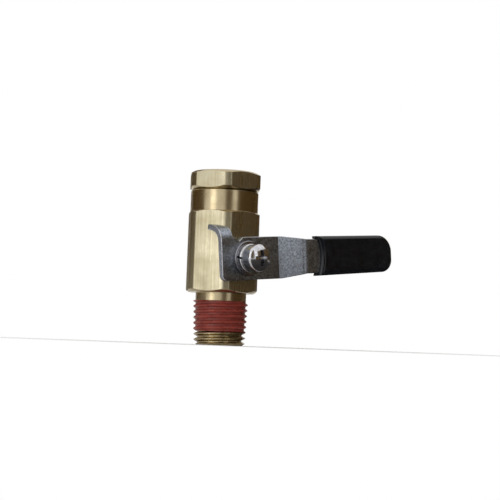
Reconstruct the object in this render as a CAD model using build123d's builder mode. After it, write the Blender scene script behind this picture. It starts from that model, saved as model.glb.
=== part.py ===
"""Mini ball valve: a hexagonal brass body with a male and a female pipe thread.

The frame has its origin at the middle of the male thread's end face. +Z runs up the flow
axis to the female end, and the stem looks along -Y. The lever is drawn as it lies at rest,
a few degrees up from square across the flow, and the ball inside is turned with it.
Lengths are in millimetres and angles in degrees.
"""

from math import cos, radians, sin, tan
import os

from build123d import *

# Hexagonal bar that the body and the cap are turned from
hex_flats = 17.46
hex_corners = 19.0
hex_chamfer_angle = 30.0
hex_shoulder = 16.6
cap_twist = -2.0

# Male pipe thread, drawn as a cone over its crests
male_thread_length = 11.2
male_crest = 13.05
male_lead_in = 0.7
pipe_taper = 1 / 16
thread_depth = 0.9
sealant_start = 3.5

# Outside of the body, from the thread upwards
neck_diameter = 12.9
neck_length = 2.1
body_hex_height = 20.6
collar_diameter = 17.3
collar_height = 5.4
collar_edge = 0.25
cap_hex_height = 4.9
cap_shoulder = 16.4

# Passage for the fluid
flow_bore = 6.0
bore_edge = 0.5
female_bore = 11.11
female_depth = 10.6
female_mouth = 13.9
drill_point_angle = 59.0

# Ball, seats and the space around them
stem_rise = 8.6
ball_diameter = 10.0
ball_port = 5.6
ball_room = 0.4
seat_reach = 5.6
seat_front = 2.9
seat_side_clearance = 0.03
ball_clearance = 0.04

# Joint between cap and body
cap_shank = 15.0
cap_nose_length = 1.0
gasket_thickness = 0.8
gasket_clearance = 0.05
screwed_clearance = 0.04

# Stem
stem_diameter = 6.4
stem_clearance = 0.05
stem_flats = 4.4
stem_flange_diameter = 7.6
stem_flange_thickness = 0.8
stem_flange_room = 0.08
stem_flange_clearance = 0.1
thrust_washer_thickness = 0.5
tang_width = 2.4
tang_clearance = 0.06
tang_depth = 2.0
tang_setback = 0.3
slot_floor_clearance = 0.1
o_ring_section = 0.75
o_ring_gap = 0.012
o_ring_edge = 0.45
screw_hole_end = 0.5
stem_end_setback = 0.25

# Lever, a stamped strip with a step and a curled stop lug
lever_angle = 5.5
lever_thickness = 1.5
lever_gap = 0.47
lever_tail = 7.9
lever_half_width = 5.4
lever_waist_half_width = 4.4
lever_corner = 1.5
lever_end_corner = 4.0
lever_length = 42.75
lever_hole_clearance = 0.04
step_start = 10.5
step_length = 5.2
step_height = 4.4
step_bend_radius = 1.2

# Stop lug, the strip's upper corner curled back beside the hexagon
lug_root = 4.4
lug_curl_radius = 2.9
lug_curl_angle = 75.0
lug_tip_length = 0.8
lug_shoulder = 5.6
lug_right = 4.2
lug_gap = 0.2
notch_place = 2.4
notch_width = 1.2
notch_radius = 0.6

# Grip, a vinyl sleeve over the lever
grip_start = 19.0
grip_mouth_hollow = 1.1
grip_cover = 1.8
grip_thickness = 3.9
grip_mouth_half_width = 5.1
grip_end_half_width = 4.85
grip_upper_corner = 4.4
grip_lower_corner = 3.2
grip_edge = 1.25
grip_clearance = 0.03

# Washers and screw that hold the lever
flat_washer_diameter = 8.8
flat_washer_thickness = 0.8
lock_washer_diameter = 7.3
lock_washer_thickness = 1.1
lock_washer_split = 0.5
lock_washer_split_angle = 24.0
washer_hole_clearance = 0.2
washer_edge = 0.15
screw_diameter = 3.8
screw_clearance = 0.05
screw_reach = 5.2
screw_head_diameter = 6.8
screw_head_side = 3.2
screw_crown = 1.1
recess_span = 4.0
recess_wing = 1.05
recess_depth = 1.9
recess_taper = 9.0

# Heights along the flow axis
neck_top = male_thread_length + neck_length
hex_top = neck_top + body_hex_height
collar_top = hex_top + collar_height
cap_top = collar_top + cap_hex_height
stem_z = neck_top + stem_rise
seat_floor = stem_z - seat_reach
seat_roof = stem_z + seat_reach
shank_bottom = seat_roof + cap_nose_length
gasket_floor = shank_bottom - gasket_thickness
female_floor = cap_top - female_depth

# Radii
hex_face = hex_flats / 2
ball_radius = ball_diameter / 2
cavity_radius = ball_radius + ball_room
shank_radius = cap_shank / 2
nose_radius = cavity_radius - screwed_clearance
stem_radius = stem_diameter / 2
stem_hole_radius = stem_radius + stem_clearance
flange_radius = stem_flange_diameter / 2
pocket_radius = flange_radius + stem_flange_clearance
screw_radius = screw_diameter / 2
washer_hole_radius = screw_radius + washer_hole_clearance

# Distances out from the flow axis along the stem
flange_inner = cavity_radius + stem_flange_room
flange_outer = flange_inner + stem_flange_thickness
pocket_floor = flange_outer + thrust_washer_thickness
lever_back = hex_face + lever_gap
lever_front = lever_back + lever_thickness
stem_end = lever_front - stem_end_setback
slot_floor = flange_inner - tang_depth - slot_floor_clearance
grip_middle = lever_back + step_height + lever_thickness / 2
lock_washer_floor = lever_front + flat_washer_thickness
head_floor = lock_washer_floor + lock_washer_thickness
head_side_top = head_floor + screw_head_side
head_top = head_side_top + screw_crown

# Planes and axis of the stem and lever
pivot = (0, 0, stem_z)
along = (cos(radians(lever_angle)), 0, sin(radians(lever_angle)))
face_plane = Plane(origin=pivot, x_dir=along, z_dir=(0, -1, 0))
side_plane = Plane(origin=pivot, x_dir=along, z_dir=(sin(radians(lever_angle)), 0, -along[0]))
stem_axis = Axis(pivot, (0, -1, 0))

os.makedirs("parts", exist_ok=True)


def crest_radius(height):
    """Radius over the male thread's crests at a height."""
    return male_crest / 2 + height * pipe_taper / 2


def turned_hexagon(bottom, top, lower_flat, upper_flat):
    """Hexagonal bar with turned corners, chamfered down to a flat ring at each end."""
    slope = tan(radians(hex_chamfer_angle))
    lower_rise = (hex_corners - lower_flat) / 2 * slope
    upper_rise = (hex_corners - upper_flat) / 2 * slope
    with BuildPart() as bar:
        with BuildSketch(Plane.XY.offset(bottom)):
            RegularPolygon(hex_face, 6, major_radius=False)
        extrude(amount=top - bottom)
        with BuildSketch(Plane.XZ):
            with BuildLine():
                Polyline(
                    (0, bottom),
                    (lower_flat / 2, bottom),
                    (hex_corners / 2, bottom + lower_rise),
                    (hex_corners / 2, top - upper_rise),
                    (upper_flat / 2, top),
                    (0, top),
                    close=True,
                )
            make_face()
        revolve(axis=Axis.Z, mode=Mode.INTERSECT)
    return bar.part


def finish(piece, name):
    """Label a finished piece and write it under its own name."""
    piece.part.label = name
    export_step(piece.part, f"parts/{name}.step")


# Body: male thread, neck, hexagon and collar, bored from both ends
body_hexagon = turned_hexagon(neck_top, hex_top, hex_shoulder, collar_diameter)
sealed_end_radius = crest_radius(male_thread_length) - thread_depth / 2
sealed_start_radius = crest_radius(sealant_start) - thread_depth / 2
with BuildPart() as body:
    with BuildSketch(Plane.XZ):
        with BuildLine():
            Polyline(
                (0, 0),
                (crest_radius(0) - male_lead_in, 0),
                (crest_radius(male_lead_in), male_lead_in),
                (crest_radius(sealant_start), sealant_start),
                (sealed_start_radius, sealant_start),
                (sealed_end_radius, male_thread_length),
                (neck_diameter / 2, male_thread_length),
                (neck_diameter / 2, neck_top),
                (0, neck_top),
                close=True,
            )
        make_face()
    revolve(axis=Axis.Z)
    add(body_hexagon)
    with BuildSketch(Plane.XY.offset(hex_top)):
        Circle(collar_diameter / 2)
    extrude(amount=collar_height)
    chamfer(body.edges().filter_by(GeomType.CIRCLE).sort_by(Axis.Z)[-1], collar_edge)
    with BuildSketch(Plane.XZ):
        with BuildLine():
            Polyline(
                (0, 0),
                (flow_bore / 2 + bore_edge, 0),
                (flow_bore / 2, bore_edge),
                (flow_bore / 2, seat_floor),
                (cavity_radius, seat_floor),
                (cavity_radius, gasket_floor),
                (shank_radius + screwed_clearance, gasket_floor),
                (shank_radius + screwed_clearance, collar_top),
                (0, collar_top),
                close=True,
            )
        make_face()
    revolve(axis=Axis.Z, mode=Mode.SUBTRACT)
    with BuildSketch(face_plane):
        Circle(pocket_radius)
    extrude(amount=pocket_floor, mode=Mode.SUBTRACT)
    with BuildSketch(face_plane):
        Circle(stem_hole_radius)
    extrude(amount=hex_corners, mode=Mode.SUBTRACT)
finish(body, "body")

# Thread sealant: the skin that fills the upper turns of the male thread
with BuildPart() as thread_sealant:
    with BuildSketch(Plane.XZ):
        with BuildLine():
            Polyline(
                (sealed_start_radius, sealant_start),
                (crest_radius(sealant_start), sealant_start),
                (crest_radius(male_thread_length), male_thread_length),
                (sealed_end_radius, male_thread_length),
                close=True,
            )
        make_face()
    revolve(axis=Axis.Z)
finish(thread_sealant, "thread_sealant")

# End cap: hexagon with the female thread, and a shank and nose inside the body
cap_hexagon = turned_hexagon(collar_top, cap_top, cap_shoulder, cap_shoulder)
mouth_depth = (female_mouth - female_bore) / 2
drill_point = (female_bore - flow_bore) / 2 / tan(radians(drill_point_angle))
with BuildPart() as end_cap:
    add(cap_hexagon.rotate(Axis.Z, cap_twist))
    with BuildSketch(Plane.XY.offset(shank_bottom)):
        Circle(shank_radius)
    extrude(amount=collar_top - shank_bottom)
    with BuildSketch(Plane.XY.offset(seat_roof)):
        Circle(nose_radius)
    extrude(amount=cap_nose_length)
    with BuildSketch(Plane.XZ):
        with BuildLine():
            Polyline(
                (0, seat_roof),
                (flow_bore / 2, seat_roof),
                (flow_bore / 2, female_floor - drill_point),
                (female_bore / 2, female_floor),
                (female_bore / 2, cap_top - mouth_depth),
                (female_mouth / 2, cap_top),
                (0, cap_top),
                close=True,
            )
        make_face()
    revolve(axis=Axis.Z, mode=Mode.SUBTRACT)
finish(end_cap, "end_cap")

# Cap gasket: flat ring squeezed between the cap's shank and the body's shoulder
with BuildPart() as cap_gasket:
    with BuildSketch(Plane.XY.offset(gasket_floor)):
        Circle(shank_radius - gasket_clearance)
        Circle(cavity_radius + gasket_clearance, mode=Mode.SUBTRACT)
    extrude(amount=gasket_thickness)
finish(cap_gasket, "cap_gasket")

# Ball: sphere with its port along the lever and a milled slot for the stem's tang
with BuildPart() as ball:
    with Locations(pivot):
        Sphere(ball_radius)
    with BuildSketch(Plane(origin=pivot, z_dir=along)):
        Circle(ball_port / 2)
    extrude(amount=ball_radius, both=True, mode=Mode.SUBTRACT)
    with BuildSketch(face_plane.offset(slot_floor)):
        Rectangle(tang_width + 2 * tang_clearance, ball_diameter)
    extrude(amount=ball_radius, mode=Mode.SUBTRACT)
finish(ball, "ball")


# Seats: a ring below and a ring above the ball, dished to its curve
def seat_ring(back, front):
    """Seat ring between its flat back and its front, with the ball's curve cut out."""
    with BuildPart() as seat:
        with BuildSketch(Plane.XY.offset(back)):
            Circle(cavity_radius - seat_side_clearance)
            Circle(flow_bore / 2, mode=Mode.SUBTRACT)
        extrude(amount=front - back)
        with Locations(pivot):
            Sphere(ball_radius + ball_clearance, mode=Mode.SUBTRACT)
    return seat


finish(seat_ring(seat_floor, stem_z - seat_front), "lower_seat")
finish(seat_ring(seat_roof, stem_z + seat_front), "upper_seat")

# Stem: flange and tang inside, journal through the wall, flats and tapped end outside
groove_radius = stem_hole_radius - o_ring_section - 2 * o_ring_gap
groove_outer = hex_face - o_ring_edge
groove_inner = groove_outer - o_ring_section - 2 * o_ring_gap
tang_length = 2 * (seat_front - tang_setback)
with BuildPart() as stem:
    with BuildSketch(side_plane):
        with BuildLine():
            Polyline(
                (0, flange_inner),
                (flange_radius, flange_inner),
                (flange_radius, flange_outer),
                (stem_radius, flange_outer),
                (stem_radius, groove_inner),
                (groove_radius, groove_inner),
                (groove_radius, groove_outer),
                (stem_radius, groove_outer),
                (stem_radius, lever_back),
                (0, lever_back),
                close=True,
            )
        make_face()
    revolve(axis=stem_axis)
    with BuildSketch(face_plane.offset(lever_back)):
        Circle(stem_radius)
        Rectangle(stem_diameter, stem_flats, mode=Mode.INTERSECT)
    extrude(amount=stem_end - lever_back)
    with BuildSketch(face_plane.offset(flange_inner)):
        Rectangle(tang_width, tang_length)
    extrude(amount=-tang_depth)
    with BuildSketch(face_plane.offset(stem_end)):
        Circle(screw_radius + screw_clearance)
    extrude(amount=-(stem_end - flange_inner - screw_hole_end), mode=Mode.SUBTRACT)
finish(stem, "stem")

# Stem O-ring, in the groove of the stem
with BuildPart() as stem_o_ring:
    with BuildSketch(side_plane):
        with Locations((groove_radius + o_ring_gap + o_ring_section / 2,
                        (groove_inner + groove_outer) / 2)):
            Circle(o_ring_section / 2)
    revolve(axis=stem_axis)
finish(stem_o_ring, "stem_o_ring")

# Thrust washer, between the stem's flange and the floor of its pocket
with BuildPart() as thrust_washer:
    with BuildSketch(face_plane.offset(flange_outer)):
        Circle(flange_radius)
        Circle(stem_hole_radius, mode=Mode.SUBTRACT)
    extrude(amount=thrust_washer_thickness)
finish(thrust_washer, "thrust_washer")

# Stop lug: curled back from the strip and trimmed to clear the hexagon when shut
rise = -side_plane.z_dir
curl_plane = Plane(origin=pivot, x_dir=rise, z_dir=along)
lug_top = lug_root + lug_curl_radius + lever_thickness + lug_tip_length
with BuildPart() as stop_lug:
    with BuildSketch(curl_plane.offset(-lever_tail)):
        with BuildLine():
            curl = JernArc((lug_root, lever_back), (1, 0), lug_curl_radius, -lug_curl_angle)
            Line(curl @ 1, curl @ 1 + (curl % 1) * lug_tip_length)
            offset(amount=lever_thickness, side=Side.LEFT)
        make_face()
    extrude(amount=lever_tail - notch_place)
    with BuildSketch(face_plane) as outline:
        with BuildLine():
            Polyline(
                (-lever_tail, lug_root),
                (-notch_place, lug_root),
                (-lug_right, lug_shoulder),
                (-lug_right, lug_top),
                (-lever_tail, lug_top),
                close=True,
            )
        make_face()
    extrude(amount=lever_front, mode=Mode.INTERSECT)
    with BuildSketch(Plane(origin=pivot, x_dir=along, z_dir=rise)):
        RegularPolygon(hex_face + lug_gap, 6, major_radius=False)
        Circle(hex_corners / 2 + lug_gap, mode=Mode.INTERSECT)
    extrude(amount=hex_corners, mode=Mode.SUBTRACT)

# Lever: a strip stepped outwards and cut to its outline, with its stop lug
step_end = step_start + step_length
with BuildPart() as lever:
    with BuildSketch(side_plane):
        with BuildLine():
            back_line = FilletPolyline(
                (-lever_tail, lever_back),
                (step_start, lever_back),
                (step_end, lever_back + step_height),
                (lever_length, lever_back + step_height),
                radius=step_bend_radius,
            )
            offset(back_line, amount=lever_thickness, side=Side.LEFT)
        make_face()
    extrude(amount=lever_half_width, both=True)
    with BuildSketch(face_plane.offset(lever_back)) as outline:
        with BuildLine():
            Polyline(
                (-lever_tail, -lever_half_width),
                (step_start, -lever_half_width),
                (step_end, -lever_waist_half_width),
                (lever_length, -lever_waist_half_width),
                (lever_length, lever_waist_half_width),
                (step_end, lever_waist_half_width),
                (step_start, lever_half_width),
                (notch_width - notch_place, lever_half_width),
                (-notch_place, lug_root),
                (-lever_tail, lug_root),
                close=True,
            )
        make_face()
        fillet(outline.vertices().group_by(Axis.X)[-1], lever_end_corner)
        fillet(outline.vertices().group_by(Axis.Y)[0].sort_by(Axis.X)[0], lever_corner)
        crown = outline.vertices().group_by(Axis.Y)[-1].sort_by(Axis.X)[0]
        fillet(crown, notch_radius)
    extrude(amount=step_height + lever_thickness, mode=Mode.INTERSECT)
    add(stop_lug)
    with BuildSketch(face_plane.offset(lever_back)):
        Circle(stem_radius + lever_hole_clearance)
        Rectangle(2 * stem_diameter, stem_flats + 2 * lever_hole_clearance, mode=Mode.INTERSECT)
    extrude(amount=lever_thickness, mode=Mode.SUBTRACT)
finish(lever, "lever")

# Grip: sleeve with a hollowed mouth, a rounded far end and a pocket that fits the lever
pocket_half_width = lever_waist_half_width + grip_clearance
pocket_height = lever_thickness + 2 * grip_clearance
pocket_end = lever_length + grip_clearance
grip_end = lever_length + grip_cover
with BuildPart() as lever_grip:
    with BuildSketch(face_plane.offset(grip_middle - grip_thickness / 2)) as outline:
        with BuildLine():
            Polyline(
                (grip_start, -grip_mouth_half_width),
                (grip_end, -grip_end_half_width),
                (grip_end, grip_end_half_width),
                (grip_start, grip_mouth_half_width),
            )
            ThreePointArc(
                (grip_start, grip_mouth_half_width),
                (grip_start + grip_mouth_hollow, 0),
                (grip_start, -grip_mouth_half_width),
            )
        make_face()
        fillet(outline.vertices().group_by(Axis.X)[-1].sort_by(Axis.Y)[0], grip_lower_corner)
        fillet(outline.vertices().group_by(Axis.X)[-1].sort_by(Axis.Y)[-1], grip_upper_corner)
    extrude(amount=grip_thickness)
    fillet(lever_grip.edges().filter_by(Axis.Y, reverse=True), grip_edge)
    with BuildSketch(face_plane.offset(grip_middle - pocket_height / 2)) as pocket:
        with Locations((pocket_end / 2, 0)):
            Rectangle(pocket_end, 2 * pocket_half_width)
        fillet(pocket.vertices().group_by(Axis.X)[-1], lever_end_corner)
    extrude(amount=pocket_height, mode=Mode.SUBTRACT)
finish(lever_grip, "lever_grip")

# Flat washer under the lock washer
with BuildPart() as flat_washer:
    with BuildSketch(face_plane.offset(lever_front)):
        Circle(flat_washer_diameter / 2)
        Circle(washer_hole_radius, mode=Mode.SUBTRACT)
    extrude(amount=flat_washer_thickness)
    chamfer(flat_washer.faces().sort_by(Axis.Y)[0].outer_wire().edges(), washer_edge)
finish(flat_washer, "flat_washer")

# Lock washer: a ring with a slanted split
with BuildPart() as lock_washer:
    with BuildSketch(face_plane.offset(lock_washer_floor)):
        Circle(lock_washer_diameter / 2)
        Circle(washer_hole_radius, mode=Mode.SUBTRACT)
    extrude(amount=lock_washer_thickness)
    chamfer(lock_washer.faces().sort_by(Axis.Y)[0].outer_wire().edges(), washer_edge)
    split_plane = face_plane.offset(lock_washer_floor + lock_washer_thickness / 2)
    split_plane = split_plane.rotated((lock_washer_split_angle, 0, 0))
    with BuildSketch(split_plane):
        with Locations((-lock_washer_diameter / 2, 0)):
            Rectangle(lock_washer_diameter, lock_washer_split)
    extrude(amount=lock_washer_thickness, both=True, mode=Mode.SUBTRACT)
finish(lock_washer, "lock_washer")

# Screw: tall round head with a crown and a cross recess
crown_radius = (screw_head_diameter**2 / 4 + screw_crown**2) / (2 * screw_crown)
with BuildPart() as lever_screw:
    with BuildSketch(side_plane):
        with BuildLine():
            Polyline(
                (0, head_top),
                (0, head_floor - screw_reach - lock_washer_thickness),
                (screw_radius, head_floor - screw_reach - lock_washer_thickness),
                (screw_radius, head_floor),
                (screw_head_diameter / 2, head_floor),
                (screw_head_diameter / 2, head_side_top),
            )
            RadiusArc((screw_head_diameter / 2, head_side_top), (0, head_top), -crown_radius)
        make_face()
    revolve(axis=stem_axis)
    with BuildSketch(face_plane.offset(head_top)):
        Rectangle(recess_span, recess_wing)
        Rectangle(recess_wing, recess_span)
    extrude(amount=-recess_depth, taper=recess_taper, mode=Mode.SUBTRACT)
finish(lever_screw, "lever_screw")
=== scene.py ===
"""Looks of a mini ball valve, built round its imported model.

Everything is in metres in the model's own frame: +Z runs up the flow axis from the end of
the male thread, the stem looks along -Y and the lever lies towards +X.
"""
import bpy
from math import atan, cos, hypot, radians, sin
from mathutils import Matrix, Vector


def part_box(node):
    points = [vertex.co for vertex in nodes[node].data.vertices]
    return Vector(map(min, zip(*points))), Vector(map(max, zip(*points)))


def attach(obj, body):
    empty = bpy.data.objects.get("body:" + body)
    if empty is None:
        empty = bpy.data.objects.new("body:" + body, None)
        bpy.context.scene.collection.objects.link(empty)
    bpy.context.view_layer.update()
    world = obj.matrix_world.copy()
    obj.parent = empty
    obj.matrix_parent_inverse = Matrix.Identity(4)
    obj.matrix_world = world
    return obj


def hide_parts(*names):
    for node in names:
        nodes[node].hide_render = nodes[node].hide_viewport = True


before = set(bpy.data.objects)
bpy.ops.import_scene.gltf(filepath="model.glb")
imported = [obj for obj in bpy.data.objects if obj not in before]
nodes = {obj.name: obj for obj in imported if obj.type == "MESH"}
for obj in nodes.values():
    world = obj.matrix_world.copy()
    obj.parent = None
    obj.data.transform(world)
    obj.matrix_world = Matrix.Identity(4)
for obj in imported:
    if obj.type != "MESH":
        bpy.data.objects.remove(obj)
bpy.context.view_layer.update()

MM = 0.001

# Sides of a turned shape, the gap that a weld closes, the bend that still counts as flat,
# and how far a cutting tool runs past what it cuts
AROUND = 144
WELD = 0.002 * MM
FLAT_WITHIN = radians(0.4)
CLEAR = MM

# Places on the pieces, read from the frame
CAP_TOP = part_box("end_cap")[1].z
SEAL_LOW, SEAL_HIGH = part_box("thread_sealant")
LEVER_LOW, LEVER_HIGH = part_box("lever")
SCREW_LOW, SCREW_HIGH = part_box("lever_screw")
STEM = (SCREW_LOW + SCREW_HIGH) / 2
HEAD_RADIUS = (SCREW_HIGH.z - SCREW_LOW.z) / 2
LOCK_LOW, LOCK_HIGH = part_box("lock_washer")
LOCK_MIDDLE = (LOCK_LOW + LOCK_HIGH) / 2
LOCK_RADIUS = (LOCK_HIGH.z - LOCK_LOW.z) / 2
LOCK_THICK = LOCK_HIGH.y - LOCK_LOW.y

# Both pipe threads: 18 turns to the inch, tapered 1 in 16 on the diameter. The flats are
# the shares of a turn at the crest and the root, and the waist is where a flank swells.
PITCH = 25.4 / 18 * MM
TAPER = 1 / 32
THREAD_FLATS = (0.14, 0.14)
WAIST = 0.45

# Male thread, with its crest as a radius at height 0
THREAD_TOP = SEAL_HIGH.z
CREST = SEAL_HIGH.x - THREAD_TOP * TAPER
THREAD_DEPTH = 0.92 * MM
LEAD_IN = 0.7 * MM
LEAD_RISE = 1.7 * LEAD_IN
BLANK_OUT = 1.5 * MM
FLOW_RADIUS = 3.0 * MM
FLOW_EDGE = 0.5 * MM

# Where the thread meets the shell above it: a sleeve inside holds the two together
SEAM = THREAD_TOP + 0.02 * MM
SHOULDER = THREAD_TOP + 0.04 * MM
SLEEVE_TOP = THREAD_TOP + 0.8 * MM
SLEEVE_RADIUS = 5 * MM
SLEEVE_BORE = FLOW_RADIUS - 0.03 * MM

# Block that reaches past the shell, and the break on every machined edge
BLOCK_RADIUS = 20 * MM
BLOCK_TOP = 60 * MM
EDGE_BREAK = 0.07 * MM

# Upright faces this far out are the drawn sides of the hexagonal bar
BAR_FROM = 8.69 * MM
UPRIGHT = 0.05

# Sealant over the upper turns of the male thread
SEAL_TOP = THREAD_TOP + 0.03 * MM
SEAL_COAT = 0.1 * MM
SEAL_DEPTH = 0.52 * MM
SEAL_FLATS = (0.12, 0.3)
SEAL_FOOT_INSET = 0.57 * MM
SEAL_TOP_INSET = 0.38 * MM
SEAL_OUT = 2 * MM
LUMP_SIZE = 1.1 * MM
LUMP_HEIGHT = 0.07 * MM
LUMP_LEVEL = 0.45

# Female thread in the cap, with the radius of its drilled hole
TAP_RADIUS = 5.555 * MM
TAP_DEPTH = 0.95 * MM
TAP_OVERLAP = 0.12 * MM
TAP_REACH = 9.17 * MM

# Lever: the tip of its stop lug, which is pulled out and narrowed, and its stamped edges
LUG_ROOT = 28 * MM
LUG_END = -7 * MM
LUG_PULL = Vector((-0.1, 1.3, 0.1)) * MM
LUG_NARROW = (0.5, 1, 0.9)
STAMPED_ROUND = 0.26 * MM

# Rims of the screw's head, found by how near its radius and how level they lie
RIM_ROUND = 0.45 * MM
RIM_DEPTH = 0.05 * MM
RIM_LEVEL = 0.01 * MM

# Lock washer and the block that cuts its split
LOCK_BORE = 2.1 * MM
LOCK_ROUND = 0.42 * MM
SPLIT_OUT = 3 * MM
SPLIT_SIZE = (3 * MM, 4 * MM, 0.5 * MM)
SPLIT_LEAN = radians(24)


def only(obj=None):
    """Select one object and make it the active one, or select nothing."""
    bpy.ops.object.select_all(action="DESELECT")
    if obj:
        obj.select_set(True)
        bpy.context.view_layer.objects.active = obj


def edit(obj):
    """Open an object for editing with all of its mesh selected."""
    only(obj)
    bpy.ops.object.mode_set(mode="EDIT")
    bpy.ops.mesh.select_mode(type="VERT")
    bpy.ops.mesh.select_all(action="SELECT")


def leave():
    """Close the object that is open for editing."""
    bpy.ops.object.mode_set(mode="OBJECT")


def apply(obj, name, kind, **settings):
    """Put a modifier on an object and apply it."""
    only(obj)
    made = obj.modifiers.new(name, kind)
    for key, value in settings.items():
        setattr(made, key, value)
    bpy.ops.object.modifier_apply(modifier=made.name)


def apply_place(obj):
    """Move an object's place, turn and size into its mesh."""
    only(obj)
    bpy.ops.object.transform_apply(location=True, rotation=True, scale=True)


def soften(obj, angle=30):
    """Smooth shading that keeps large faces flat and edges over an angle crisp."""
    only(obj)
    bpy.ops.object.shade_smooth_by_angle(angle=radians(angle))
    apply(obj, "flat sides", "WEIGHTED_NORMAL", keep_sharp=True)


def bevel(obj, width, segments=2, angle=28, material=-1):
    """Round the sharp edges of an object, which may get a material of their own."""
    apply(obj, "rounding", "BEVEL", width=width, segments=segments, limit_method="ANGLE",
          angle_limit=radians(angle), use_clamp_overlap=True, material=material)


def merged_copy(node, name):
    """Copy of a node's mesh with its loose triangles joined, ready to be reshaped."""
    obj = bpy.data.objects.new(name, nodes[node].data.copy())
    bpy.context.scene.collection.objects.link(obj)
    obj.data.materials.clear()
    only(obj)
    if obj.data.has_custom_normals:
        bpy.ops.mesh.customdata_custom_splitnormals_clear()
    edit(obj)
    bpy.ops.mesh.remove_doubles(threshold=WELD)
    bpy.ops.mesh.dissolve_limited(angle_limit=FLAT_WITHIN)
    leave()
    return obj


def dress(obj, body, material, replaced):
    """Give a finished piece its body and material, and hide the imported part that it replaces."""
    obj.data.materials.clear()
    obj.data.materials.append(material)
    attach(obj, body)
    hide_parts(replaced)


def weld(obj):
    """Join the points that meet, and turn every face outwards."""
    edit(obj)
    bpy.ops.mesh.remove_doubles(threshold=WELD)
    bpy.ops.mesh.normals_make_consistent(inside=False)
    leave()


def profile(name, points):
    """Line of points (radius, height), drawn one after another beside the flow axis."""
    only()
    bpy.ops.mesh.primitive_plane_add(size=MM)
    line = bpy.context.object
    line.name = name
    edit(line)
    bpy.ops.mesh.merge(type="CENTER")
    radius, height = points[0]
    bpy.ops.transform.translate(value=(radius, 0, height))
    for new_radius, new_height in points[1:]:
        step = (new_radius - radius, 0, new_height - height)
        bpy.ops.mesh.extrude_region_move(TRANSFORM_OT_translate={"value": step})
        radius, height = new_radius, new_height
    leave()
    return line


def turned(name, points):
    """Closed profile turned round the flow axis."""
    solid = profile(name, [*points, points[0]])
    apply(solid, "turning", "SCREW", steps=AROUND, render_steps=AROUND, use_merge_vertices=True,
          merge_threshold=WELD)
    weld(solid)
    return solid


def quarter(radius, across, up, first):
    """Points of a rounded corner about its centre, from a first angle in degrees."""
    angles = [radians(first + 22.5 * step) for step in range(5)]
    return [(across + radius * cos(a), up + radius * sin(a)) for a in angles]


def trim(obj, height, **dropped):
    """Cut an object flat at a height, and drop the side that is named."""
    edit(obj)
    bpy.ops.mesh.bisect(plane_co=(0, 0, height), plane_no=(0, 0, 1), use_fill=True, **dropped)
    leave()


def threaded(name, low, high, crest, depth, flats=THREAD_FLATS):
    """Rod with a tapered helical thread, cut flat at both ends.

    The crest is given as its radius at height 0.
    """
    crest_half, root_half = (share * PITCH / 2 for share in flats)
    start = (low // PITCH - 2) * PITCH
    middle = start + PITCH / 2
    end = start + PITCH
    flank = PITCH / 2 - crest_half - root_half
    root, waist = crest - depth, crest - depth * WAIST
    rod = profile(name, [
        (root, start), (root, start + root_half), (waist, start + root_half + flank / 2),
        (crest, middle - crest_half), (crest, middle + crest_half),
        (waist, middle + crest_half + flank / 2), (root, end - root_half), (root, end)])
    turns = int((high - start) / PITCH) + 2
    apply(rod, "winding", "SCREW", steps=AROUND, render_steps=AROUND, screw_offset=PITCH,
          iterations=turns)
    weld(rod)
    length = max(point.co.z for point in rod.data.vertices) - start
    apply(rod, "narrowing", "SIMPLE_DEFORM", deform_method="TAPER", deform_axis="Z",
          factor=length * TAPER / crest)
    trim(rod, low, clear_inner=True)
    trim(rod, high, clear_outer=True)
    weld(rod)
    return rod


def cut(obj, tool, operation):
    """Join, cut or trim an object with another, which is then gone."""
    apply(obj, "cutting", "BOOLEAN", operation=operation, solver="EXACT", object=tool)
    bpy.data.objects.remove(tool)
    weld(obj)


def round_edges(obj, width, segments, chosen):
    """Round the edges whose two ends are chosen."""
    edit(obj)
    bpy.ops.mesh.select_all(action="DESELECT")
    bpy.ops.mesh.select_mode(type="EDGE")
    leave()
    points = obj.data.vertices
    for edge in obj.data.edges:
        edge.select = chosen(*(points[i].co for i in edge.vertices))
        if edge.select:
            for i in edge.vertices:
                points[i].select = True
    bpy.ops.object.mode_set(mode="EDIT")
    bpy.ops.mesh.bevel(offset=width, segments=segments, affect="EDGES", clamp_overlap=True)
    leave()


# Materials. A colour Mix node repeats the names of its sockets, so they go by number.
MIX_SHARE, MIX_FIRST, MIX_SECOND = 0, 6, 7
MIX_COLOR = 2


def darker(tone, *shares):
    """Tone with its red, green and blue each lowered to a share."""
    return tuple(part * share for part, share in zip(tone, shares))


class Recipe:
    """Node tree, with short ways to add its nodes."""

    def __init__(self, tree):
        self.tree = tree

    def feed(self, socket, value):
        """Link a socket to another node's output, or set it to a value."""
        if isinstance(value, bpy.types.NodeSocket):
            self.tree.links.new(value, socket)
        else:
            socket.default_value = value

    def node(self, kind, **settings):
        """Add a node, with its settings and its inputs."""
        made = self.tree.nodes.new(kind)
        for key, value in settings.items():
            if key in made.inputs:
                self.feed(made.inputs[key], value)
            else:
                setattr(made, key, value)
        return made

    def math(self, kind, first, second):
        """One sum of two values."""
        made = self.node("ShaderNodeMath", operation=kind)
        self.feed(made.inputs[0], first)
        self.feed(made.inputs[1], second)
        return made.outputs["Value"]

    def seen(self):
        """1 where the camera, a mirror or a glass looks, and 0 for all other light."""
        ray = self.node("ShaderNodeLightPath").outputs
        looked_at = self.math("MAXIMUM", ray["Is Camera Ray"], ray["Is Glossy Ray"])
        return self.math("MAXIMUM", looked_at, ray["Is Transmission Ray"])

    def layered(self, share, first, second):
        """Shader between two shaders, by a share."""
        made = self.node("ShaderNodeMixShader")
        for socket, value in zip(made.inputs, (share, first, second)):
            self.feed(socket, value)
        return made.outputs["Shader"]


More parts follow.
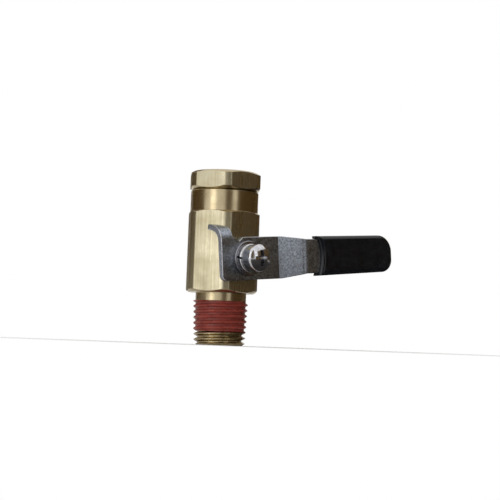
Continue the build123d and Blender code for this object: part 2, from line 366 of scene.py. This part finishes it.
class Finish(Recipe):
    """One procedural material."""

    def __init__(self, name, color, metallic, roughness):
        self.material = bpy.data.materials.new(name)
        self.material.use_nodes = True
        super().__init__(self.material.node_tree)
        self.shader = self.tree.nodes["Principled BSDF"]
        self.set(**{"Base Color": (*color, 1), "Metallic": metallic, "Roughness": roughness})
        self.place = self.node("ShaderNodeTexCoord").outputs["Object"]

    def set(self, **values):
        """Set sockets of the shader by name."""
        for socket, value in values.items():
            self.shader.inputs[socket].default_value = value

    def noise(self, scale, detail=3.0, rough=0.55):
        """Noise from 0 to 1, with its patches to the millimetre on each axis."""
        size = tuple(patches / MM for patches in scale)
        grid = self.node("ShaderNodeMapping", Vector=self.place, Scale=size).outputs["Vector"]
        made = self.node("ShaderNodeTexNoise", Vector=grid, Scale=1.0, Detail=detail,
                         Roughness=rough)
        return made.outputs["Fac"]

    def span(self, value, low, high, to_low=0, to_high=1):
        """Carry a value from one range into another."""
        ranges = {"From Min": low, "From Max": high, "To Min": to_low, "To Max": to_high}
        return self.node("ShaderNodeMapRange", Value=value, **ranges).outputs["Result"]

    def blend(self, share, first, second):
        """Colour between two colours, by a share."""
        made = self.node("ShaderNodeMix", data_type="RGBA")
        self.feed(made.inputs[MIX_SHARE], share)
        for number, color in ((MIX_FIRST, first), (MIX_SECOND, second)):
            self.feed(made.inputs[number], (*color, 1) if isinstance(color, tuple) else color)
        return made.outputs[MIX_COLOR]

    def color(self, value):
        """Send a colour to the shader."""
        self.feed(self.shader.inputs["Base Color"], value)

    def roughness(self, value):
        """Send a roughness to the shader."""
        self.feed(self.shader.inputs["Roughness"], value)

    def bump(self, value, depth, strength):
        """Raise the surface by a value, with its depth in millimetres."""
        made = self.node("ShaderNodeBump", Height=value, Strength=strength, Distance=depth * MM)
        normal = self.shader.inputs["Normal"]
        if normal.links:
            self.feed(made.inputs["Normal"], normal.links[0].from_socket)
        self.feed(normal, made.outputs["Normal"])


def brass(name, tone, marks, strength, roughness):
    """Brass with the marks of its making and faint stains."""
    dull = darker(tone, 0.82, 0.79, 0.73)
    dark = darker(tone, 0.5, 0.44, 0.36)
    finish = Finish(name, tone, 1.0, roughness)
    lines = finish.noise(marks, detail=2)
    stain = finish.noise((0.16, 0.16, 0.2), detail=5, rough=0.6)
    grain = finish.noise((3, 3, 3), detail=2)
    stained = finish.blend(finish.span(stain, 0.38, 0.68), tone, dull)
    finish.color(finish.blend(finish.span(lines, 0.45, 0.8, 0, strength), stained, dark))
    spread = finish.math("ADD", finish.span(lines, 0.3, 0.7, -0.15 * strength, 0.2 * strength),
                         finish.span(stain, 0.3, 0.7, -0.04, 0.06))
    finish.roughness(finish.math("ADD", spread, roughness))
    finish.bump(lines, 0.02, 0.8 * strength)
    finish.bump(grain, 0.01, 0.2)
    return finish.material


def dried_sealant():
    """Dried red sealant, uneven in colour, with painted shade darkening its grooves, and with
    glossy spots.
    """
    # The third tone is the painted shade for the grooves
    thin, thick, painted_groove_shade = (0.22, 0.027, 0.018), (0.35, 0.056, 0.036), (0.06, 0.009, 0.008)
    finish = Finish("red_sealant", thick, 0.0, 0.42)
    cloud = finish.noise((0.5, 0.5, 0.9), detail=4)
    speck = finish.noise((5, 5, 5))
    streak = finish.noise((0.9, 0.9, 3.5))
    ao_open_share = finish.node("ShaderNodeAmbientOcclusion", Distance=0.9 * MM).outputs["AO"]
    coat = finish.blend(finish.span(cloud, 0.3, 0.7), thin, thick)
    # Painted shade: the colour goes to the dark red where ambient occlusion finds the grooves of
    # the thread
    finish.color(finish.blend(finish.span(ao_open_share, 0.4, 0.85), painted_groove_shade, coat))
    finish.roughness(finish.span(streak, 0.5, 0.64, 0.5, 0.16))
    finish.bump(cloud, 0.1, 0.5)
    finish.bump(speck, 0.03, 0.4)
    return finish.material


def plated_steel():
    """Dark plated strip of the lever, speckled, with rolling lines along it."""
    dark, light, worn = (0.18, 0.193, 0.22), (0.53, 0.58, 0.66), (0.22, 0.22, 0.23)
    finish = Finish("plated_steel", worn, 1.0, 0.36)
    speck = finish.noise((2.2, 2.2, 2.2), detail=4, rough=0.75)
    lines = finish.noise((0.25, 2.5, 6), detail=2)
    cloud = finish.noise((0.22, 0.22, 0.22))
    plate = finish.blend(finish.span(speck, 0.38, 0.66), dark, light)
    finish.color(finish.blend(finish.span(cloud, 0.48, 0.72, 0, 0.5), plate, worn))
    finish.roughness(finish.span(speck, 0.3, 0.7, 0.26, 0.46))
    finish.bump(speck, 0.02, 0.4)
    finish.bump(lines, 0.012, 0.25)
    return finish.material


def dipped_vinyl():
    """Glossy black vinyl with the faint ripple of a dipped sleeve."""
    black, hazy = (0.004, 0.005, 0.007), (0.009, 0.011, 0.015)
    finish = Finish("black_vinyl", black, 0.0, 0.2)
    finish.set(**{"Specular IOR Level": 0.3, "Coat Weight": 0.08, "Coat Roughness": 0.1})
    ripple = finish.noise((0.16, 0.16, 0.16), detail=2)
    haze = finish.noise((0.5, 0.5, 0.5), detail=4)
    finish.color(finish.blend(finish.span(haze, 0.4, 0.7), black, hazy))
    finish.roughness(finish.span(haze, 0.3, 0.7, 0.15, 0.27))
    finish.bump(ripple, 0.1, 0.35)
    finish.bump(haze, 0.01, 0.25)
    return finish.material


def bright_metal(name, tone, roughness):
    """Bright plated metal with faint scuffs."""
    finish = Finish(name, tone, 1.0, roughness)
    scuff = finish.noise((1.4, 1.4, 1.4), detail=4)
    fine = finish.noise((8, 8, 8), detail=2)
    finish.color(finish.blend(finish.span(scuff, 0.4, 0.7), tone, darker(tone, 0.72, 0.72, 0.72)))
    finish.roughness(finish.span(scuff, 0.3, 0.7, roughness - 0.05, roughness + 0.1))
    finish.bump(fine, 0.006, 0.25)
    return finish.material


def plain_seal(name, tone, roughness):
    """Seal material with a faint mottle."""
    finish = Finish(name, tone, 0.0, roughness)
    mottle = finish.noise((1.2, 1.2, 1.2))
    finish.color(finish.blend(finish.span(mottle, 0.3, 0.7), tone, darker(tone, 0.85, 0.85, 0.85)))
    finish.roughness(finish.span(mottle, 0.3, 0.7, roughness, roughness + 0.12))
    finish.bump(mottle, 0.02, 0.3)
    return finish.material


def studio_paint(name, tone, other, patches=0.01, low=0, high=1):
    """Dull paint or cloth, with faint patches of another tone."""
    finish = Finish(name, tone, 0.0, 0.9)
    cloud = finish.noise((patches, patches, patches))
    finish.color(finish.blend(finish.span(cloud, low, high), tone, other))
    return finish


DRAWN_BRASS = brass("drawn_brass", (0.5, 0.455, 0.32), (3.5, 3.5, 0.05), 0.35, 0.3)
TURNED_BRASS = brass("turned_brass", (0.5, 0.42, 0.27), (0.05, 0.05, 7), 0.07, 0.22)
STEM_BRASS = brass("stem_brass", (0.5, 0.42, 0.27), (0.3, 5, 0.3), 0.3, 0.28)
SEALANT = dried_sealant()
PLATED = plated_steel()
VINYL = dipped_vinyl()
SCREW_STEEL = bright_metal("screw_steel", (0.66, 0.66, 0.68), 0.13)
WASHER_STEEL = bright_metal("washer_steel", (0.34, 0.34, 0.37), 0.26)
# Lighter metal for the lever's rounded edges: a painted highlight along them
EDGE_HIGHLIGHT_METAL = bright_metal("painted_edge_highlight", (0.5, 0.51, 0.55), 0.22)
BALL_CHROME = bright_metal("ball_chrome", (0.8, 0.8, 0.82), 0.12)
SEAT_PLASTIC = plain_seal("seat_plastic", (0.8, 0.8, 0.77), 0.45)
SEAL_RUBBER = plain_seal("seal_rubber", (0.02, 0.02, 0.02), 0.5)

# Pieces


def finish_brass(obj, node):
    """Dress a piece cut from hexagonal bar: drawn sides, and turned brass elsewhere."""
    dress(obj, "valve_body", DRAWN_BRASS, node)
    obj.data.materials.append(TURNED_BRASS)
    for face in obj.data.polygons:
        away = hypot(face.center.x, face.center.y)
        drawn = abs(face.normal.z) < UPRIGHT and away > BAR_FROM
        face.material_index = 0 if drawn else 1
    soften(obj)


def male_thread():
    """Male thread trimmed to its blank, with the sleeve that reaches into the neck."""
    thread = threaded("male_thread", -CLEAR, SLEEVE_TOP + CLEAR, CREST, THREAD_DEPTH)
    blank = turned("thread_blank", [
        (FLOW_RADIUS + FLOW_EDGE, 0), (CREST - LEAD_IN, 0), (CREST + LEAD_IN, LEAD_RISE),
        (CREST + BLANK_OUT, SHOULDER), (SLEEVE_RADIUS, SHOULDER), (SLEEVE_RADIUS, SLEEVE_TOP),
        (SLEEVE_BORE, SLEEVE_TOP), (SLEEVE_BORE, FLOW_EDGE)])
    cut(thread, blank, "INTERSECT")
    return thread


def threaded_body():
    """Valve body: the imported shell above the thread, joined to a helical thread."""
    body = merged_copy("body", "threaded_body")
    bevel(body, EDGE_BREAK)
    upper = turned("upper_block", [
        (CLEAR, SEAM), (BLOCK_RADIUS, SEAM), (BLOCK_RADIUS, BLOCK_TOP), (CLEAR, BLOCK_TOP)])
    cut(body, upper, "INTERSECT")
    cut(body, male_thread(), "UNION")
    finish_brass(body, "body")


def sealant_skin():
    """Sealant: a shallower, lumpy thread over the upper turns, hollow for the brass one."""
    skin = threaded("sealant_skin", SEAL_LOW.z - CLEAR, SEAL_TOP + CLEAR, CREST + SEAL_COAT,
                    SEAL_DEPTH, SEAL_FLATS)
    lumps = bpy.data.textures.new("sealant_lumps", "CLOUDS")
    lumps.noise_scale = LUMP_SIZE
    lumps.noise_depth = 2
    apply(skin, "lumps", "DISPLACE", texture=lumps, strength=LUMP_HEIGHT, mid_level=LUMP_LEVEL,
          texture_coords="LOCAL")
    wall = turned("sealant_wall", [
        (CREST - SEAL_FOOT_INSET, SEAL_LOW.z), (CREST + SEAL_OUT, SEAL_LOW.z),
        (CREST + SEAL_OUT, SEAL_TOP), (CREST - SEAL_TOP_INSET, SEAL_TOP)])
    cut(skin, wall, "INTERSECT")
    dress(skin, "valve_body", SEALANT, "thread_sealant")
    soften(skin, 50)


def tapped_cap():
    """End cap, tapped with the female thread."""
    cap = merged_copy("end_cap", "tapped_cap")
    bevel(cap, EDGE_BREAK)
    tap_crest = TAP_RADIUS + TAP_DEPTH - CAP_TOP * TAPER
    tap = threaded("tap", CAP_TOP - TAP_REACH, CAP_TOP + CLEAR, tap_crest, TAP_DEPTH + TAP_OVERLAP)
    cut(cap, tap, "DIFFERENCE")
    finish_brass(cap, "end_cap")


def stamped_lever():
    """Lever with its lug's tip pulled out, and its stamped edges rounded and given a lighter colour
    as a painted highlight.
    """
    lever = merged_copy("lever", "stamped_lever")
    edit(lever)
    bpy.ops.mesh.select_all(action="DESELECT")
    leave()
    for point in lever.data.vertices:
        point.select = point.co.z > LUG_ROOT and point.co.y > LUG_END
    bpy.ops.object.mode_set(mode="EDIT")
    bpy.ops.transform.translate(value=LUG_PULL)
    bpy.ops.transform.resize(value=LUG_NARROW, center_override=(LEVER_LOW.x, LUG_END, LEVER_HIGH.z))
    leave()
    dress(lever, "lever_set", PLATED, "lever")
    # The bevels take the lighter metal, a painted highlight on the stamped edges
    lever.data.materials.append(EDGE_HIGHLIGHT_METAL)
    bevel(lever, STAMPED_ROUND, segments=3, angle=50, material=1)
    soften(lever)


def is_rim(one, other):
    """Whether two points end a piece of one of the rims of the screw's head."""
    away = min(hypot(point.x - STEM.x, point.z - STEM.z) for point in (one, other))
    return away > HEAD_RADIUS - RIM_DEPTH and abs(one.y - other.y) < RIM_LEVEL


def rounded_screw():
    """Screw, with the rims of its head rounded."""
    screw = merged_copy("lever_screw", "rounded_screw")
    round_edges(screw, RIM_ROUND, 4, is_rim)
    dress(screw, "lever_set", SCREW_STEEL, "lever_screw")
    soften(screw)


def rounded_lock_washer():
    """Lock washer: a ring with round outer corners, cut by a slanted split."""
    corner = LOCK_RADIUS - LOCK_ROUND
    washer = turned("rounded_lock_washer", [
        (LOCK_BORE, 0), *quarter(LOCK_ROUND, corner, LOCK_ROUND, -90),
        *quarter(LOCK_ROUND, corner, LOCK_THICK - LOCK_ROUND, 0), (LOCK_BORE, LOCK_THICK)])
    half_up = Vector((0, 0, LOCK_THICK / 2))
    edit(washer)
    bpy.ops.transform.rotate(value=radians(90), orient_axis="X", center_override=half_up)
    bpy.ops.transform.translate(value=LOCK_MIDDLE - half_up)
    leave()
    only()
    bpy.ops.mesh.primitive_cube_add(size=1, location=LOCK_MIDDLE - Vector((SPLIT_OUT, 0, 0)),
                                    rotation=(SPLIT_LEAN, 0, 0))
    split = bpy.context.object
    split.scale = SPLIT_SIZE
    apply_place(split)
    cut(washer, split, "DIFFERENCE")
    dress(washer, "lever_set", SCREW_STEEL, "lock_washer")
    soften(washer)


threaded_body()
sealant_skin()
tapped_cap()
stamped_lever()
rounded_screw()
rounded_lock_washer()

# Pieces whose solids are already right
for node, material in {
    "lever_grip": VINYL,
    "flat_washer": WASHER_STEEL,
    "stem": STEM_BRASS,
    "ball": BALL_CHROME,
    "lower_seat": SEAT_PLASTIC,
    "upper_seat": SEAT_PLASTIC,
    "cap_gasket": SEAT_PLASTIC,
    "thrust_washer": SEAT_PLASTIC,
    "stem_o_ring": SEAL_RUBBER,
}.items():
    nodes[node].data.materials.clear()
    nodes[node].data.materials.append(material)

# Camera: where it stands, how it leans, and the pixel that the aim falls on
AZIMUTH = radians(-36.3)
ELEVATION = radians(-3.5)
LEAN = radians(2.2)
DISTANCE = 350 * MM
FOCAL_PIXELS = 1366
FRAME_PIXELS = 500
AIM = Vector((0, 0, 21.8 * MM))
AIM_X, AIM_Y = 222.3, 260.0
back = Vector((sin(AZIMUTH) * cos(ELEVATION), -cos(AZIMUTH) * cos(ELEVATION), sin(ELEVATION)))
right = Vector((cos(AZIMUTH), sin(AZIMUTH), 0))
basis = Matrix((right, back.cross(right), back)).transposed().to_4x4()
yaw = atan((FRAME_PIXELS / 2 - AIM_X) / FOCAL_PIXELS)
pitch = atan((AIM_Y - FRAME_PIXELS / 2) / FOCAL_PIXELS)
lens = bpy.data.cameras.new("camera")
lens.sensor_width = 36
lens.lens = FOCAL_PIXELS / FRAME_PIXELS * lens.sensor_width
lens.clip_start = 10 * MM
camera = bpy.data.objects.new("camera", lens)
bpy.context.scene.collection.objects.link(camera)
camera.matrix_world = (Matrix.Translation(AIM + back * DISTANCE) @ basis
                       @ Matrix.Rotation(LEAN, 4, "Z") @ Matrix.Rotation(-yaw, 4, "Y")
                       @ Matrix.Rotation(pitch, 4, "X"))
bpy.context.scene.camera = camera
bpy.context.scene.view_settings.view_transform = "Standard"

# Studio: places are given by a turn from the camera's direction and a distance in metres
ROOM_LIGHT = 0.9
FLOOR_SIDE = 6
FLOOR_DROP = 0.02 * MM
FADE_FROM, FADE_TO = 0.03, 0.14
CARD_SIDE = 0.4
CARD_LIFT = 0.5 * MM


def beside(turn, distance, height):
    """Angle and place beside the valve, turned from the camera's direction."""
    angle = AZIMUTH + radians(turn)
    return angle, Vector((sin(angle), -cos(angle), 0)) * distance + Vector((0, 0, height))


def lamp(name, turn, height, distance, width, tall, power):
    """Soft lamp that looks at the valve."""
    place = beside(turn, distance, height)[1]
    data = bpy.data.lights.new(name, "AREA")
    data.shape = "RECTANGLE"
    data.size, data.size_y = width, tall
    data.energy = power
    obj = bpy.data.objects.new(name, data)
    bpy.context.scene.collection.objects.link(obj)
    obj.location = place
    obj.rotation_euler = (AIM - place).to_track_quat("-Z", "Y").to_euler()


def sheet(name, place, rotation, width, tall, material):
    """Flat sheet that belongs to the studio."""
    only()
    bpy.ops.mesh.primitive_plane_add(size=1, location=place, rotation=rotation)
    obj = bpy.context.object
    obj.name = name
    obj.scale = (width, tall, 1)
    apply_place(obj)
    obj.data.materials.append(material)
    return obj


def flag(name, turn, distance, width, tall):
    """Dark upright panel for the metal to reflect, which the camera doesn't see."""
    angle, place = beside(turn, distance, tall / 2)
    panel = sheet(name, place, (radians(90), 0, angle), width, tall, FLAG_CLOTH)
    panel.visible_camera = False


def white_room():
    """World that looks white and gives slightly less light than it shows."""
    world = bpy.data.worlds.new("studio")
    bpy.context.scene.world = world
    world.use_nodes = True
    world.node_tree.nodes.clear()
    air = Recipe(world.node_tree)
    dim, white = (air.node("ShaderNodeBackground", Color=(1, 1, 1, 1), Strength=strength)
                  for strength in (ROOM_LIGHT, 1.0))
    room = air.layered(air.seen(), dim.outputs["Background"], white.outputs["Background"])
    air.node("ShaderNodeOutputWorld", Surface=room)


def fading_floor():
    """Pale floor that keeps the shadow near the valve and fades to white further out."""
    paint = studio_paint("floor_paint", (0.92, 0.92, 0.92), (0.9, 0.9, 0.9), patches=0.004,
                         low=0.3, high=0.7)
    reach = paint.node("ShaderNodeVectorMath", operation="LENGTH")
    paint.feed(reach.inputs[0], paint.place)
    faded = paint.span(reach.outputs["Value"], FADE_FROM, FADE_TO)
    white = paint.node("ShaderNodeEmission").outputs["Emission"]
    surface = paint.layered(paint.math("MULTIPLY", faded, paint.seen()),
                            paint.shader.outputs["BSDF"], white)
    paint.feed(paint.tree.nodes["Material Output"].inputs["Surface"], surface)
    sheet("floor", (0, 0, -FLOOR_DROP), (0, 0, 0), FLOOR_SIDE, FLOOR_SIDE, paint.material)


def floor_card():
    """Dark card on the floor before the valve, seen only in the metal above it, where it paints a
    dark reflection into the undersides.
    """
    cloth = studio_paint("dark_reflection_card", (0.03, 0.028, 0.026), (0.04, 0.037, 0.034))
    angle, place = beside(turn=74, distance=0.21, height=CARD_LIFT)
    card = sheet("floor_card", place, (0, 0, angle), CARD_SIDE, CARD_SIDE, cloth.material)
    card.visible_camera = card.visible_diffuse = card.visible_shadow = False


white_room()
fading_floor()
floor_card()
lamp("key", turn=-38, height=0.24, distance=0.6, width=0.2, tall=0.4, power=0.4)
lamp("bounce", turn=-46, height=0.016, distance=0.5, width=0.16, tall=0.03, power=0.05)
lamp("fill", turn=40, height=0.3, distance=0.8, width=0.2, tall=0.3, power=0.1)
FLAG_CLOTH = studio_paint("flag_cloth", (0.14, 0.088, 0.03), (0.16, 0.1, 0.036)).material
flag("flag_right", turn=80, distance=0.45, width=0.66, tall=0.34)
flag("flag_back_right", turn=138, distance=0.5, width=0.5, tall=0.5)
flag("flag_left", turn=-110, distance=0.5, width=0.8, tall=0.4)
flag("flag_middle", turn=15, distance=0.62, width=0.26, tall=0.5)
flag("flag_back_left", turn=-166, distance=0.5, width=0.22, tall=0.4)
